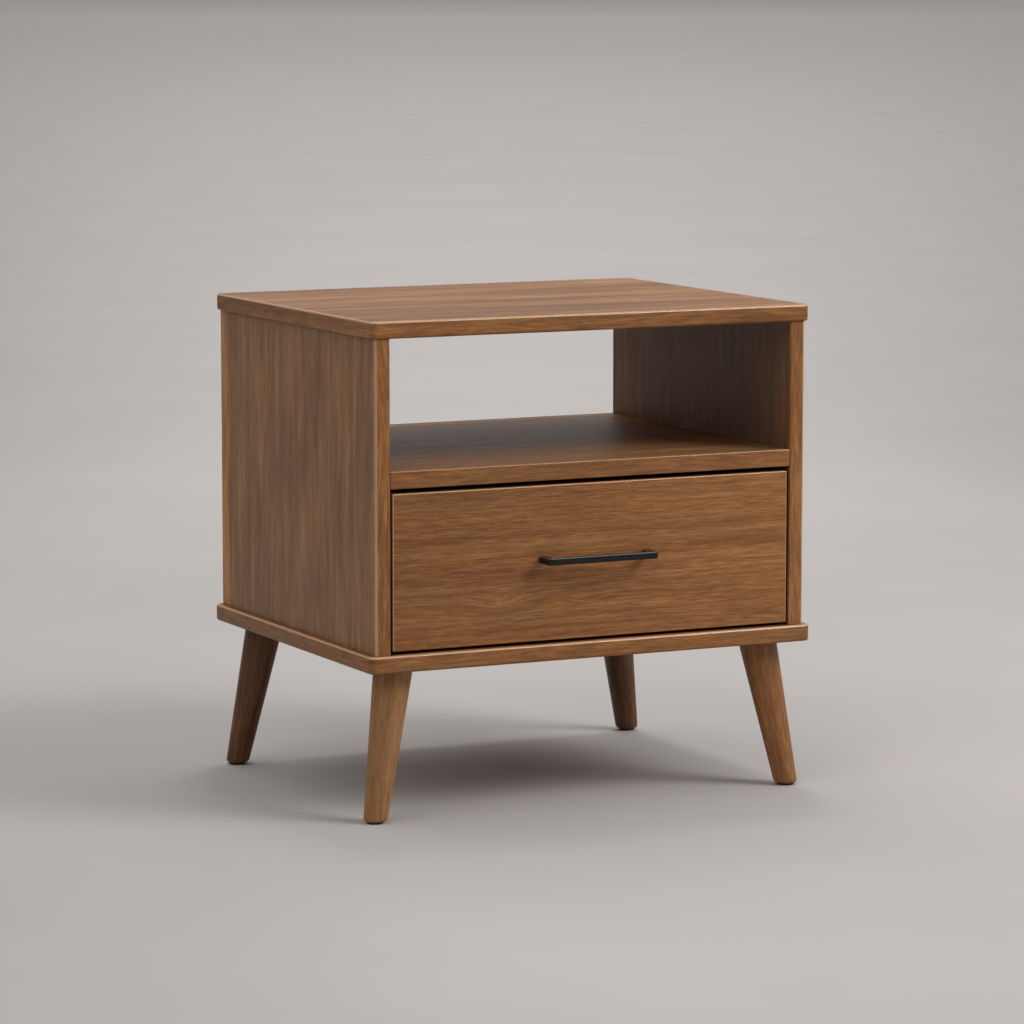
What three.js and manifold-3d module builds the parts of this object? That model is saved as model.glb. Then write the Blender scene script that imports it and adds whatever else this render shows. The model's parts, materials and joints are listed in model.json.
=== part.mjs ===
// Nightstand: a veneered cabinet on four splayed turned legs, with an open bay above one drawer.
// The drawer runs on two full-extension ball-bearing slides and is pulled by a square bar handle.
//
// Millimetres. X runs to the viewer's right, Y to the back, Z up, and the feet stand on Z = 0.
// The cabinet is modelled about its own middle, and one group then moves it back so that the origin
// is the centre of the whole outline on the floor, handle included.

import * as THREE from "three";
import { mergeVertices } from "three/addons/utils/BufferGeometryUtils.js";
import Module from "manifold-3d";

const wasm = await Module();
wasm.setup();

// ---------------------------------------------------------------- driving dimensions

const HEIGHT = 550;
const CARCASS_WIDTH = 530; // over the outer faces of the two sides
const CARCASS_DEPTH = 434; // of the sides and the shelf
const SIDE_T = 18;
const BOARD_T = 19; // top, shelf and base
const TOP_OVERHANG = { x: 5, y: 3 }; // past the sides' outer faces, and past their front and rear
const BASE_OVERHANG = { x: 8, y: 5 };
const PLAN_RADIUS = 8; // corners of the top and the base, seen from above
const EDGE_RADIUS = 3; // rounded arrises of the top and the base
const SIDE_FRONT_RADIUS = 3; // outer front arris of each side
const SIDE_REAR_RADIUS = 2;

const LEG_HEIGHT = 168; // floor to the underside of the base
const BAY_HEIGHT = 144; // open bay, shelf to top
const BACK_T = 5;
const BACK_INSET = 10; // rear edge of the sides to the lower back
const GROOVE = 6; // depth of the housings in the sides
const BOARD_GROOVE = 4; // depth of the back's grooves in the base and the shelf
const HOUSING_STOP = 12; // the shelf housings stop this far behind the front edge

const LEG_TOP_R = 22;
const LEG_FOOT_R = 13.5;
const LEG_INSET = 38; // leg centre at the base, in from the carcass corner both ways
const LEG_SPLAY_X = 30; // how far the foot stands out from the leg's top
const LEG_SPLAY_Y = 17;
const FOOT_ROUNDING = 4.5;
const PAD_T = 2;
const PAD_R = 9;

const DRAWER_SIDE_GAP = 3.2; // reveals round the drawer front
const DRAWER_TOP_GAP = 5.5;
const DRAWER_BOTTOM_GAP = 3.5;
const DRAWER_RECESS = 1; // drawer front behind the sides' front edges
const DRAWER_FRONT_T = 18;
const BOX_T = 12; // drawer box walls
const BOX_HEIGHT = 135;
const BOX_RAISE = 13; // drawer box above the base
const BOX_BOTTOM_T = 5;
const BOX_BOTTOM_RAISE = 12; // drawer bottom above the lower edge of the box
const BOX_RABBET = 6;

const HANDLE_CENTRES = 128; // between the two screws
const HANDLE_BAR = 8; // square section
const HANDLE_EASE = 1.5; // rounding of the bar's arrises
const HANDLE_REACH = 26;
const HANDLE_Z = 281;

const SLIDE_LENGTH = 350;
const SLIDE_SPACE = 13; // between a side and the drawer box
const SLIDE_SETBACK = 1; // slide's front end behind the drawer front
const SLIDE_HEIGHT = 45;
const SLIDE_METAL = 1.2;
const SLIDE_LIP = 0.9; // turned in at the outer member's rims
const SLIDE_Z = 262;
const RACE_GAP = 3.6; // between the flanges of two members
const OUTER_RIM = 11.4; // places across the slide, from the cabinet side towards the drawer
const MIDDLE_WEB = 4.75;
const MIDDLE_RIM = 11.6;
const INNER_RIM = 7.5;
const OUTER_CAGE = { web: 3.9, rim: 9.8, balls: 7.5 };
const INNER_CAGE = { web: 6.35, rim: 11, balls: 9.2 };
const CAGE_LENGTH = 120;
const CAGE_SETBACK = 97; // rear of the slide's front end
const CAGE_METAL = 0.5;
const CAGE_BALLS = 5; // in each row

const SCREW_R = 2; // pan-head screws
const SCREW_POINT = 2;
const PAN_HEAD_R = 3.75;
const PAN_HEAD_T = 2.2;
const PAN_HEAD_EASE = 1.1; // taken off the head's rim, on its upper half
const FRONT_SCREW_X = 180;
const FRONT_SCREW_Z = 235;
const FRONT_SCREW_LENGTH = 26;
const HANDLE_SCREW_IN_POST = 8;
const CABINET_SCREW_LENGTH = 14;
const CABINET_SCREW_INSET = [27, 33]; // from the slide's front and rear ends
const DRAWER_SCREW_LENGTH = 9;
const DRAWER_SCREW_INSET = [37, 43];

const DOWEL_R = 4;
const DOWEL_IN_TOP = 10;
const DOWEL_IN_SIDE = 20;
const DOWEL_Y = 140; // either way from the middle
const BASE_SCREW_Y = 150;
const BASE_SCREW_LENGTH = 50;
const BASE_SCREW_R = 3.5;
const BASE_SCREW_HEAD_R = 5;
const BASE_SCREW_HEAD_T = 1; // straight rim, before the cone
const BASE_SCREW_CONE_T = 3;
const BASE_SCREW_POINT = 4;
const BASE_SCREW_TIP_R = 1;
const INSERT_R = 6;
const INSERT_LENGTH = 15;
const LEG_BOLT_R = 4;
const LEG_BOLT_WOOD_R = 3.5; // of the thread in the leg
const LEG_BOLT_STEP = [-3, -2]; // between the two threads, below the leg's top
const LEG_BOLT_IN_LEG = 40;
const LEG_BOLT_POINT = 5;
const LEG_BOLT_IN_BASE = 14;
const LEG_BOLT_CHAMFER = 1;

const FIT = 0.3; // clearance round a fastener, a dowel or a ball
const SLIP = 0.25; // clearance of a board in its groove
const SPARE = 0.5; // room left at the bottom of a groove or a dowel hole
const OVERRUN = 1; // how far a cutter runs out into the open
const ROUND_SEGMENTS = 12;
const LEG_SEGMENTS = 32;
const PLAN_STEPS = 6; // along a quarter circle
const SIDE_FRONT_STEPS = 4;
const FINE_STEPS = 2;
const FOOT_STEPS = 4;

// ---------------------------------------------------------------- derived places

const HALF_W = CARCASS_WIDTH / 2;
const HALF_D = CARCASS_DEPTH / 2;
const INNER_X = HALF_W - SIDE_T; // inner face of a side
const SIDE_MID_X = HALF_W - SIDE_T / 2;
const LEG_X = HALF_W - LEG_INSET;
const LEG_Y = HALF_D - LEG_INSET;
const BASE_Z = [LEG_HEIGHT, LEG_HEIGHT + BOARD_T];
const TOP_Z = [HEIGHT - BOARD_T, HEIGHT];
const SHELF_Z = [TOP_Z[0] - BAY_HEIGHT - BOARD_T, TOP_Z[0] - BAY_HEIGHT];
const BACK_Y = [HALF_D - BACK_INSET - BACK_T, HALF_D - BACK_INSET];

const FRONT_Y = [-HALF_D + DRAWER_RECESS, -HALF_D + DRAWER_RECESS + DRAWER_FRONT_T];
const BOX_X = INNER_X - SLIDE_SPACE; // outer face of a drawer side
const BOX_Z = [BASE_Z[1] + BOX_RAISE, BASE_Z[1] + BOX_RAISE + BOX_HEIGHT];
const BOX_Y = [FRONT_Y[1], FRONT_Y[1] + SLIDE_LENGTH];
const BOTTOM_Z = [BOX_Z[0] + BOX_BOTTOM_RAISE, BOX_Z[0] + BOX_BOTTOM_RAISE + BOX_BOTTOM_T];
const SLIDE_Y = [FRONT_Y[1] + SLIDE_SETBACK, FRONT_Y[1] + SLIDE_SETBACK + SLIDE_LENGTH];
const CABINET_SCREW_Y = [SLIDE_Y[0] + CABINET_SCREW_INSET[0], SLIDE_Y[1] - CABINET_SCREW_INSET[1]];
const DRAWER_SCREW_Y = [SLIDE_Y[0] + DRAWER_SCREW_INSET[0], SLIDE_Y[1] - DRAWER_SCREW_INSET[1]];
const HANDLE_SCREW_LENGTH = BOX_T + DRAWER_FRONT_T + HANDLE_SCREW_IN_POST;

// A slide's three channels, each by the X of its web and its rim and by half its height.
const OUTER = { web: 0, rim: OUTER_RIM, half: SLIDE_HEIGHT / 2 };
const MIDDLE = { web: MIDDLE_WEB, rim: MIDDLE_RIM, half: OUTER.half - SLIDE_METAL - RACE_GAP };
const INNER = { web: SLIDE_SPACE, rim: INNER_RIM, half: MIDDLE.half - SLIDE_METAL - RACE_GAP };
const BALL_R = RACE_GAP / 2 - FIT;

// ---------------------------------------------------------------- materials

const finish = (color, roughness, metalness = 0) =>
  new THREE.MeshStandardMaterial({ color, roughness, metalness });

const walnut = finish(0x7a5236, 0.45);
const legWood = finish(0x754d31, 0.42);
const plywood = finish(0xcdb088, 0.6);
const beech = finish(0xc9a273, 0.7);
const blackMetal = finish(0x1c1d1f, 0.4, 0.6);
const zinc = finish(0xb9bcc0, 0.35, 1);
const brass = finish(0xb08d4a, 0.35, 1);
const steelBall = finish(0xd4d6d8, 0.2, 1);
const felt = finish(0x2a2725, 0.95);

// ---------------------------------------------------------------- solids

const mid = ([a, b]) => (a + b) / 2;
const span = ([a, b]) => b - a;
const grown = ([a, b], by) => [a - by, b + by];
const mirrored = (sx, [a, b]) => (sx > 0 ? [a, b] : [-b, -a]);

// A closed geometry as a manifold solid. Only positions are kept, so that shared corners merge.
function toSolid(geometry) {
  const bare = geometry.clone();
  bare.deleteAttribute("normal");
  bare.deleteAttribute("uv");
  const merged = mergeVertices(bare, 1e-4);
  return new wasm.Manifold(
    new wasm.Mesh({
      numProp: 3,
      vertProperties: merged.attributes.position.array,
      triVerts: new Uint32Array(merged.index.array),
    }),
  );
}

function toGeometry(solid) {
  const mesh = solid.getMesh();
  const geometry = new THREE.BufferGeometry();
  geometry.setAttribute("position", new THREE.BufferAttribute(mesh.vertProperties, 3));
  geometry.setIndex(new THREE.BufferAttribute(mesh.triVerts, 1));
  const flat = geometry.toNonIndexed();
  flat.computeVertexNormals();
  return flat;
}

function cut(geometry, cutters) {
  if (cutters.length === 0) return geometry;
  const left = cutters.reduce((solid, cutter) => solid.subtract(toSolid(cutter)), toSolid(geometry));
  return toGeometry(left);
}

function join(geometries) {
  const [first, ...others] = geometries.map(toSolid);
  return toGeometry(others.reduce((solid, other) => solid.add(other), first));
}

function block(x, y, z) {
  return new THREE.BoxGeometry(span(x), span(y), span(z)).translate(mid(x), mid(y), mid(z));
}

// A body turned about the Z axis from a profile of [radius, height] points, lowest point first.
function turned(profile, segments = ROUND_SEGMENTS) {
  const points = profile.map(([r, z]) => new THREE.Vector2(r, z));
  return new THREE.LatheGeometry(points, segments).rotateX(Math.PI / 2);
}

function rod(radius, z) {
  return turned([[0, z[0]], [radius, z[0]], [radius, z[1]], [0, z[1]]]);
}

// Points of a quarter circle, from one angle to another, in degrees.
function arc(cx, cy, radius, from, to, steps) {
  return Array.from({ length: steps + 1 }, (_, i) => {
    const angle = THREE.MathUtils.degToRad(from + ((to - from) * i) / steps);
    return [cx + radius * Math.cos(angle), cy + radius * Math.sin(angle)];
  });
}

function outline(points) {
  return new THREE.Shape(points.map(([x, y]) => new THREE.Vector2(x, y)));
}

// ---------------------------------------------------------------- scene helpers

function piece(group, name, geometry, material, position = [0, 0, 0]) {
  const mesh = new THREE.Mesh(geometry, material);
  mesh.name = name;
  mesh.position.set(...position);
  group.add(mesh);
  return mesh;
}

// A board between the given limits, centred on its own origin. The cutters are in the group's frame.
function board(group, name, x, y, z, material, cutters = []) {
  const centre = [mid(x), mid(y), mid(z)];
  const blank = new THREE.BoxGeometry(span(x), span(y), span(z));
  const moved = cutters.map((c) => c.clone().translate(...centre.map((v) => -v)));
  return piece(group, name, cut(blank, moved), material, centre);
}

const HANDS = [["left", -1], ["right", 1]];

function corners(visit) {
  for (const [depth, sy] of [["front", -1], ["rear", 1]])
    for (const [hand, sx] of HANDS) visit(`${depth}_${hand}`, sx, sy);
}

// ---------------------------------------------------------------- fasteners

// A pan-head screw whose head stands on Z = 0, above it, and whose shank runs down.
function panScrew(length) {
  return turned([
    [0, -length],
    [SCREW_R, -length + SCREW_POINT],
    [SCREW_R, 0],
    [PAN_HEAD_R, 0],
    [PAN_HEAD_R, PAN_HEAD_T / 2],
    [PAN_HEAD_R - PAN_HEAD_EASE, PAN_HEAD_T],
    [0, PAN_HEAD_T],
  ]);
}

const screwHole = (length) => rod(SCREW_R + FIT, [-length - OVERRUN, OVERRUN]);

// A screw pointing along +X or -X, or along -Y, stands with its head's underside at the given point.
const alongX = (geometry, sign) => geometry.rotateY((-sign * Math.PI) / 2);
const alongMinusY = (geometry) => geometry.rotateX(-Math.PI / 2);

// ---------------------------------------------------------------- carcass

const dowelHole = (sx, sy) =>
  rod(DOWEL_R + FIT, [TOP_Z[0] - DOWEL_IN_SIDE - SPARE, TOP_Z[0] + DOWEL_IN_TOP + SPARE])
    .translate(sx * SIDE_MID_X, sy * DOWEL_Y, 0);

// A countersunk connecting screw, with the face of its head on Z = 0 and its point up.
function baseScrew(clearance = 0) {
  const r = BASE_SCREW_R + clearance;
  const head = BASE_SCREW_HEAD_R + clearance;
  const tip = BASE_SCREW_LENGTH + clearance;
  return turned([
    [0, -clearance],
    [head, -clearance],
    [head, BASE_SCREW_HEAD_T],
    [r, BASE_SCREW_HEAD_T + BASE_SCREW_CONE_T],
    [r, tip - BASE_SCREW_POINT],
    [BASE_SCREW_TIP_R, tip],
    [0, tip],
  ]);
}

const baseScrewHole = (sx, sy) => baseScrew(FIT).translate(sx * SIDE_MID_X, sy * BASE_SCREW_Y, LEG_HEIGHT);

// A board with round corners in plan and rounded arrises, such as the top and the base.
function roundedBoard(overhang, cutters, group, name, z) {
  const hx = HALF_W + overhang.x - EDGE_RADIUS;
  const hy = HALF_D + overhang.y - EDGE_RADIUS;
  const r = PLAN_RADIUS - EDGE_RADIUS;
  const quarter = (sx, sy, from) => arc(sx * (hx - r), sy * (hy - r), r, from, from + 90, PLAN_STEPS);
  const shape = outline([
    ...quarter(1, 1, 0),
    ...quarter(-1, 1, 90),
    ...quarter(-1, -1, 180),
    ...quarter(1, -1, 270),
  ]);
  const blank = new THREE.ExtrudeGeometry(shape, {
    depth: BOARD_T - 2 * EDGE_RADIUS,
    bevelThickness: EDGE_RADIUS,
    bevelSize: EDGE_RADIUS,
    bevelSegments: FINE_STEPS,
  }).translate(0, 0, EDGE_RADIUS);
  const moved = cutters.map((c) => c.clone().translate(0, 0, -z[0]));
  return piece(group, name, cut(blank, moved), walnut, [0, 0, z[0]]);
}

// A side, as its plan section drawn upwards: square inside, with rounded outer arrises.
function sidePanel(group, name, sx) {
  const front = -HALF_D;
  const rear = HALF_D;
  const rf = SIDE_FRONT_RADIUS;
  const rr = SIDE_REAR_RADIUS;
  const section = outline([
    [INNER_X, front],
    ...arc(HALF_W - rf, front + rf, rf, -90, 0, SIDE_FRONT_STEPS),
    ...arc(HALF_W - rr, rear - rr, rr, 0, 90, FINE_STEPS),
    [INNER_X, rear],
  ]);
  const blank = new THREE.ExtrudeGeometry(section, { depth: TOP_Z[0] - BASE_Z[1], bevelEnabled: false })
    .translate(0, 0, BASE_Z[1]);
  const grooveX = [INNER_X - OVERRUN, INNER_X + GROOVE + SLIP];
  const cutters = [
    block(grooveX, [front + HOUSING_STOP, rear + OVERRUN], grown(SHELF_Z, SLIP)),
    block(grooveX, grown(BACK_Y, SLIP), [BASE_Z[1] - OVERRUN, SHELF_Z[1]]),
    ...[-1, 1].map((sy) => dowelHole(1, sy)),
    ...[-1, 1].map((sy) => baseScrewHole(1, sy)),
    ...CABINET_SCREW_Y.map((y) =>
      alongX(screwHole(CABINET_SCREW_LENGTH), 1).translate(INNER_X, y, SLIDE_Z)),
  ];
  const mesh = piece(group, name, cut(blank, cutters), walnut);
  mesh.scale.x = sx;
}

function buildCarcass(group) {
  const insertHole = (sx, sy) =>
    rod(INSERT_R + FIT, [LEG_HEIGHT - OVERRUN, LEG_HEIGHT + INSERT_LENGTH + SPARE])
      .translate(sx * LEG_X, sy * LEG_Y, 0);
  const dowelHoles = [];
  const baseHoles = [];
  corners((_, sx, sy) => {
    dowelHoles.push(dowelHole(sx, sy));
    baseHoles.push(baseScrewHole(sx, sy), insertHole(sx, sy));
  });
  const grooveX = [-INNER_X - GROOVE, INNER_X + GROOVE];
  const backSlotY = grown(BACK_Y, SLIP);
  const baseSlot = block([-INNER_X, INNER_X], backSlotY, [BASE_Z[1] - BOARD_GROOVE, BASE_Z[1] + OVERRUN]);

  roundedBoard(TOP_OVERHANG, dowelHoles, group, "top_panel", TOP_Z);
  roundedBoard(BASE_OVERHANG, [...baseHoles, baseSlot], group, "base_panel", BASE_Z);
  sidePanel(group, "left_side_panel", -1);
  sidePanel(group, "right_side_panel", 1);

  // Both boards that end in the sides' grooves are notched where a groove stops.
  const notchX = [INNER_X - SLIP, INNER_X + GROOVE + OVERRUN];
  const notches = (y, z) => [-1, 1].map((sx) => block(mirrored(sx, notchX), y, z));
  const frontNotchY = [-HALF_D - OVERRUN, -HALF_D + HOUSING_STOP + SLIP];
  const shelfSlotZ = [SHELF_Z[0] - OVERRUN, SHELF_Z[0] + BOARD_GROOVE];
  board(group, "shelf_panel", grooveX, [-HALF_D, HALF_D], SHELF_Z, walnut, [
    ...notches(frontNotchY, grown(SHELF_Z, OVERRUN)),
    block(grown(grooveX, OVERRUN), backSlotY, shelfSlotZ),
  ]);
  const backZ = grown([BASE_Z[1] - BOARD_GROOVE, SHELF_Z[0] + BOARD_GROOVE], -SPARE);
  board(group, "lower_back_panel", grown(grooveX, -SPARE), BACK_Y, backZ, walnut,
    notches(grown(BACK_Y, OVERRUN), [BASE_Z[0], BASE_Z[1] + SLIP]));

  corners((where, sx, sy) => {
    const dowel = rod(DOWEL_R, [-DOWEL_IN_SIDE, DOWEL_IN_TOP]);
    const screwAt = [sx * SIDE_MID_X, sy * BASE_SCREW_Y, LEG_HEIGHT];
    piece(group, `top_dowel_${where}`, dowel, beech, [sx * SIDE_MID_X, sy * DOWEL_Y, TOP_Z[0]]);
    piece(group, `base_screw_${where}`, baseScrew(), zinc, screwAt);
  });
}

// ---------------------------------------------------------------- legs

// A turned leg, leaning along its own +X, with its top and its foot cut level. Its origin is the
// centre of the top. Level sections of a leaning cone are longer along the lean by 1 / cos.
function legGeometry() {
  const lean = Math.atan2(Math.hypot(LEG_SPLAY_X, LEG_SPLAY_Y), LEG_HEIGHT - PAD_T);
  const foot = PAD_T - LEG_HEIGHT;
  const profile = [
    [0, foot],
    ...arc(LEG_FOOT_R - FOOT_ROUNDING, foot + FOOT_ROUNDING, FOOT_ROUNDING, -90, 0, FOOT_STEPS),
    [LEG_TOP_R, 0],
    [0, 0],
  ];
  const leaning = new THREE.Matrix4().set(
    1 / Math.cos(lean), 0, -Math.tan(lean), 0,
    0, 1, 0, 0,
    0, 0, 1, 0,
    0, 0, 0, 1,
  );
  const body = turned(profile, LEG_SEGMENTS).applyMatrix4(leaning);
  return cut(body, [rod(LEG_BOLT_R + FIT, [-LEG_BOLT_IN_LEG - SPARE, OVERRUN])]);
}

// Machine thread up into the base, wood thread down into the leg.
const legBolt = () =>
  turned([
    [0, -LEG_BOLT_IN_LEG],
    [LEG_BOLT_WOOD_R, -LEG_BOLT_IN_LEG + LEG_BOLT_POINT],
    [LEG_BOLT_WOOD_R, LEG_BOLT_STEP[0]],
    [LEG_BOLT_R, LEG_BOLT_STEP[1]],
    [LEG_BOLT_R, LEG_BOLT_IN_BASE - LEG_BOLT_CHAMFER],
    [LEG_BOLT_R - LEG_BOLT_CHAMFER, LEG_BOLT_IN_BASE],
    [0, LEG_BOLT_IN_BASE],
  ]);

const legInsert = () => {
  const bore = LEG_BOLT_R + FIT;
  return turned([
    [bore, 0],
    [INSERT_R, 0],
    [INSERT_R, INSERT_LENGTH],
    [bore, INSERT_LENGTH],
    [bore, 0],
  ]);
};

function buildLegs(group) {
  corners((where, sx, sy) => {
    const top = [sx * LEG_X, sy * LEG_Y, LEG_HEIGHT];
    const foot = [sx * (LEG_X + LEG_SPLAY_X), sy * (LEG_Y + LEG_SPLAY_Y), 0];
    const leg = piece(group, `leg_${where}`, legGeometry(), legWood, top);
    leg.rotation.z = Math.atan2(sy * LEG_SPLAY_Y, sx * LEG_SPLAY_X);
    piece(group, `leg_bolt_${where}`, legBolt(), zinc, top);
    piece(group, `leg_insert_${where}`, legInsert(), brass, top);
    piece(group, `foot_pad_${where}`, rod(PAD_R, [0, PAD_T]), felt, foot);
  });
}

// ---------------------------------------------------------------- drawer

// Every screw through the drawer front starts inside the box, on the box front's inner face.
const boxFrontInside = FRONT_Y[1] + BOX_T;
const handleScrewAt = (sx) => [(sx * HANDLE_CENTRES) / 2, boxFrontInside, HANDLE_Z];
const frontScrewAt = (sx) => [sx * FRONT_SCREW_X, boxFrontInside, FRONT_SCREW_Z];
const throughFront = (length, at) => alongMinusY(screwHole(length)).translate(...at);

function handleGeometry() {
  const half = HANDLE_CENTRES / 2 + HANDLE_BAR / 2;
  const ease = HANDLE_EASE;
  const outer = half - ease;
  const inner = half - HANDLE_BAR + ease;
  const shape = outline([
    [-outer, -ease],
    [-outer, -HANDLE_REACH + ease],
    [outer, -HANDLE_REACH + ease],
    [outer, -ease],
    [inner, -ease],
    [inner, -HANDLE_REACH + HANDLE_BAR - ease],
    [-inner, -HANDLE_REACH + HANDLE_BAR - ease],
    [-inner, -ease],
  ]);
  const bar = new THREE.ExtrudeGeometry(shape, {
    depth: HANDLE_BAR - 2 * ease,
    bevelThickness: ease,
    bevelSize: ease,
    bevelSegments: FINE_STEPS,
  }).translate(0, 0, -HANDLE_BAR / 2 + ease);
  const bores = [-1, 1].map((sx) =>
    alongMinusY(screwHole(HANDLE_SCREW_IN_POST)).translate((sx * HANDLE_CENTRES) / 2, 0, 0));
  return cut(bar, bores);
}

function buildDrawer(group) {
  const frontX = INNER_X - DRAWER_SIDE_GAP;
  const frontZ = [BASE_Z[1] + DRAWER_BOTTOM_GAP, SHELF_Z[0] - DRAWER_TOP_GAP];
  const frontHoles = [-1, 1].flatMap((sx) => [
    throughFront(HANDLE_SCREW_LENGTH, handleScrewAt(sx)),
    throughFront(FRONT_SCREW_LENGTH, frontScrewAt(sx)),
  ]);
  board(group, "drawer_front", [-frontX, frontX], FRONT_Y, frontZ, walnut, frontHoles);

  // The box: its front and back stand in rabbets at the ends of the sides, and its bottom in a groove.
  const inside = BOX_X - BOX_T;
  const rabbet = inside + BOX_RABBET;
  const endX = [-rabbet + SLIP, rabbet - SLIP];
  const boxFrontY = [BOX_Y[0], BOX_Y[0] + BOX_T];
  const boxBackY = [BOX_Y[1] - BOX_T, BOX_Y[1]];
  const bottomX = [-rabbet, rabbet];
  const bottomY = [boxFrontY[1] - BOX_RABBET, boxBackY[0] + BOX_RABBET];
  const bottomSlot = block(bottomX, bottomY, grown(BOTTOM_Z, SLIP));
  for (const [hand, sx] of HANDS) {
    const stepX = mirrored(sx, [inside - OVERRUN, rabbet]);
    board(group, `drawer_${hand}_side`, mirrored(sx, [inside, BOX_X]), BOX_Y, BOX_Z, plywood, [
      block(stepX, [BOX_Y[0] - OVERRUN, boxFrontY[1] + SLIP], grown(BOX_Z, OVERRUN)),
      block(stepX, [boxBackY[0] - SLIP, BOX_Y[1] + OVERRUN], grown(BOX_Z, OVERRUN)),
      bottomSlot,
      ...DRAWER_SCREW_Y.map((y) =>
        alongX(screwHole(DRAWER_SCREW_LENGTH), -sx).translate(sx * BOX_X, y, SLIDE_Z)),
    ]);
  }
  board(group, "drawer_box_front", endX, boxFrontY, BOX_Z, plywood, [...frontHoles, bottomSlot]);
  board(group, "drawer_back", endX, boxBackY, BOX_Z, plywood, [bottomSlot]);
  board(group, "drawer_bottom", grown(bottomX, -SPARE), grown(bottomY, -SPARE), BOTTOM_Z, plywood);

  piece(group, "drawer_handle", handleGeometry(), blackMetal, [0, FRONT_Y[0], HANDLE_Z]);
  const forward = (length) => alongMinusY(panScrew(length));
  for (const [hand, sx] of HANDS) {
    piece(group, `handle_screw_${hand}`, forward(HANDLE_SCREW_LENGTH), zinc, handleScrewAt(sx));
    piece(group, `front_screw_${hand}`, forward(FRONT_SCREW_LENGTH), zinc, frontScrewAt(sx));
  }
}

// ---------------------------------------------------------------- slides

// A slide's section is drawn with X from the cabinet side towards the drawer and Z about its middle:
// a channel nested in a channel nested in a channel, with a ball cage in each of the two gaps.

// A channel's outline: its web at one X, its two flanges running to another, and at each rim, where
// there is a lip, the metal turned inwards over the balls.
function channel({ web, rim, half }, metal, lip = 0) {
  const back = Math.sign(web - rim) * metal; // from a rim towards the web
  const rimEnd = lip > 0
    ? [[rim, half - metal - lip], [rim + back, half - metal - lip], [rim + back, half - metal]]
    : [[rim, half - metal]];
  const upper = [[web, half], [rim, half], ...rimEnd, [web - back, half - metal]];
  const lower = upper.map(([x, z]) => [x, -z]).reverse();
  return [...upper, ...lower];
}

// An outline drawn along the slide from its front end.
function profileAlongY(points, length) {
  return new THREE.ExtrudeGeometry(outline(points), { depth: length, bevelEnabled: false })
    .rotateX(Math.PI / 2)
    .translate(0, length, 0);
}

// A thin strip that passes between two members, with a row of balls in its upper and lower rims.
function cageGeometry({ web, rim, balls: ballX }, rowZ) {
  const half = rowZ + CAGE_METAL / 2;
  const strip = profileAlongY(channel({ web, rim, half }, CAGE_METAL), CAGE_LENGTH);
  const pitch = CAGE_LENGTH / CAGE_BALLS;
  const balls = [];
  for (const z of [-rowZ, rowZ])
    for (let i = 0; i < CAGE_BALLS; i++)
      balls.push(new THREE.OctahedronGeometry(BALL_R).translate(ballX, (i + 0.5) * pitch, z));
  return join([strip, ...balls]);
}

function buildSlide(group, hand) {
  const holes = (places, x, length, sign) =>
    places.map((y) => alongX(screwHole(length), sign).translate(x, y - SLIDE_Y[0], 0));
  const outer = cut(
    profileAlongY(channel(OUTER, SLIDE_METAL, SLIDE_LIP), SLIDE_LENGTH),
    holes(CABINET_SCREW_Y, OUTER.web + SLIDE_METAL, CABINET_SCREW_LENGTH, -1),
  );
  const middle = profileAlongY(channel(MIDDLE, SLIDE_METAL), SLIDE_LENGTH);
  const inner = cut(
    profileAlongY(channel(INNER, SLIDE_METAL), SLIDE_LENGTH),
    holes(DRAWER_SCREW_Y, INNER.web - SLIDE_METAL, DRAWER_SCREW_LENGTH, 1),
  );
  const start = [0, SLIDE_Y[0], SLIDE_Z];
  piece(group, `slide_outer_${hand}`, outer, zinc, start);
  piece(group, `slide_middle_${hand}`, middle, zinc, start);
  piece(group, `slide_inner_${hand}`, inner, zinc, start);

  const rowBetween = (a, b) => (a.half - SLIDE_METAL + b.half) / 2;
  const outerCage = cageGeometry(OUTER_CAGE, rowBetween(OUTER, MIDDLE));
  const innerCage = cageGeometry(INNER_CAGE, rowBetween(MIDDLE, INNER));
  const cageStart = [0, SLIDE_Y[0] + CAGE_SETBACK, SLIDE_Z];
  piece(group, `slide_outer_cage_${hand}`, outerCage, steelBall, cageStart);
  piece(group, `slide_inner_cage_${hand}`, innerCage, steelBall, cageStart);

  // Heads stand on the channels' inner faces: into the cabinet side, and into the drawer side.
  for (const [i, place] of ["front", "rear"].entries()) {
    const toCabinet = alongX(panScrew(CABINET_SCREW_LENGTH), -1);
    const toDrawer = alongX(panScrew(DRAWER_SCREW_LENGTH), 1);
    const cabinetAt = [SLIDE_METAL, CABINET_SCREW_Y[i], SLIDE_Z];
    const drawerAt = [SLIDE_SPACE - SLIDE_METAL, DRAWER_SCREW_Y[i], SLIDE_Z];
    piece(group, `cabinet_screw_${place}_${hand}`, toCabinet, zinc, cabinetAt);
    piece(group, `drawer_screw_${place}_${hand}`, toDrawer, zinc, drawerAt);
  }
}

// ---------------------------------------------------------------- assembly

const nightstand = new THREE.Group();
const centred = new THREE.Group();
const frontReach = HALF_D - DRAWER_RECESS + HANDLE_REACH;
const rearReach = HALF_D + BASE_OVERHANG.y;
centred.position.y = (frontReach - rearReach) / 2;
nightstand.add(centred);

buildCarcass(centred);
buildLegs(centred);
buildDrawer(centred);
for (const [hand, sx] of HANDS) {
  const slide = new THREE.Group();
  slide.position.x = sx * INNER_X;
  slide.scale.x = -sx;
  centred.add(slide);
  buildSlide(slide, hand);
}

export default nightstand;
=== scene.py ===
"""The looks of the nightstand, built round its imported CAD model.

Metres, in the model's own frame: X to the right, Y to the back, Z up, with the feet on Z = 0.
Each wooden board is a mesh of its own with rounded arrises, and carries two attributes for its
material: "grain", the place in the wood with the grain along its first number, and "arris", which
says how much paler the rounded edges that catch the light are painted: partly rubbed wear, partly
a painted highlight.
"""

import json
import math

import bmesh
import bpy
from mathutils import Matrix, Vector


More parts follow.
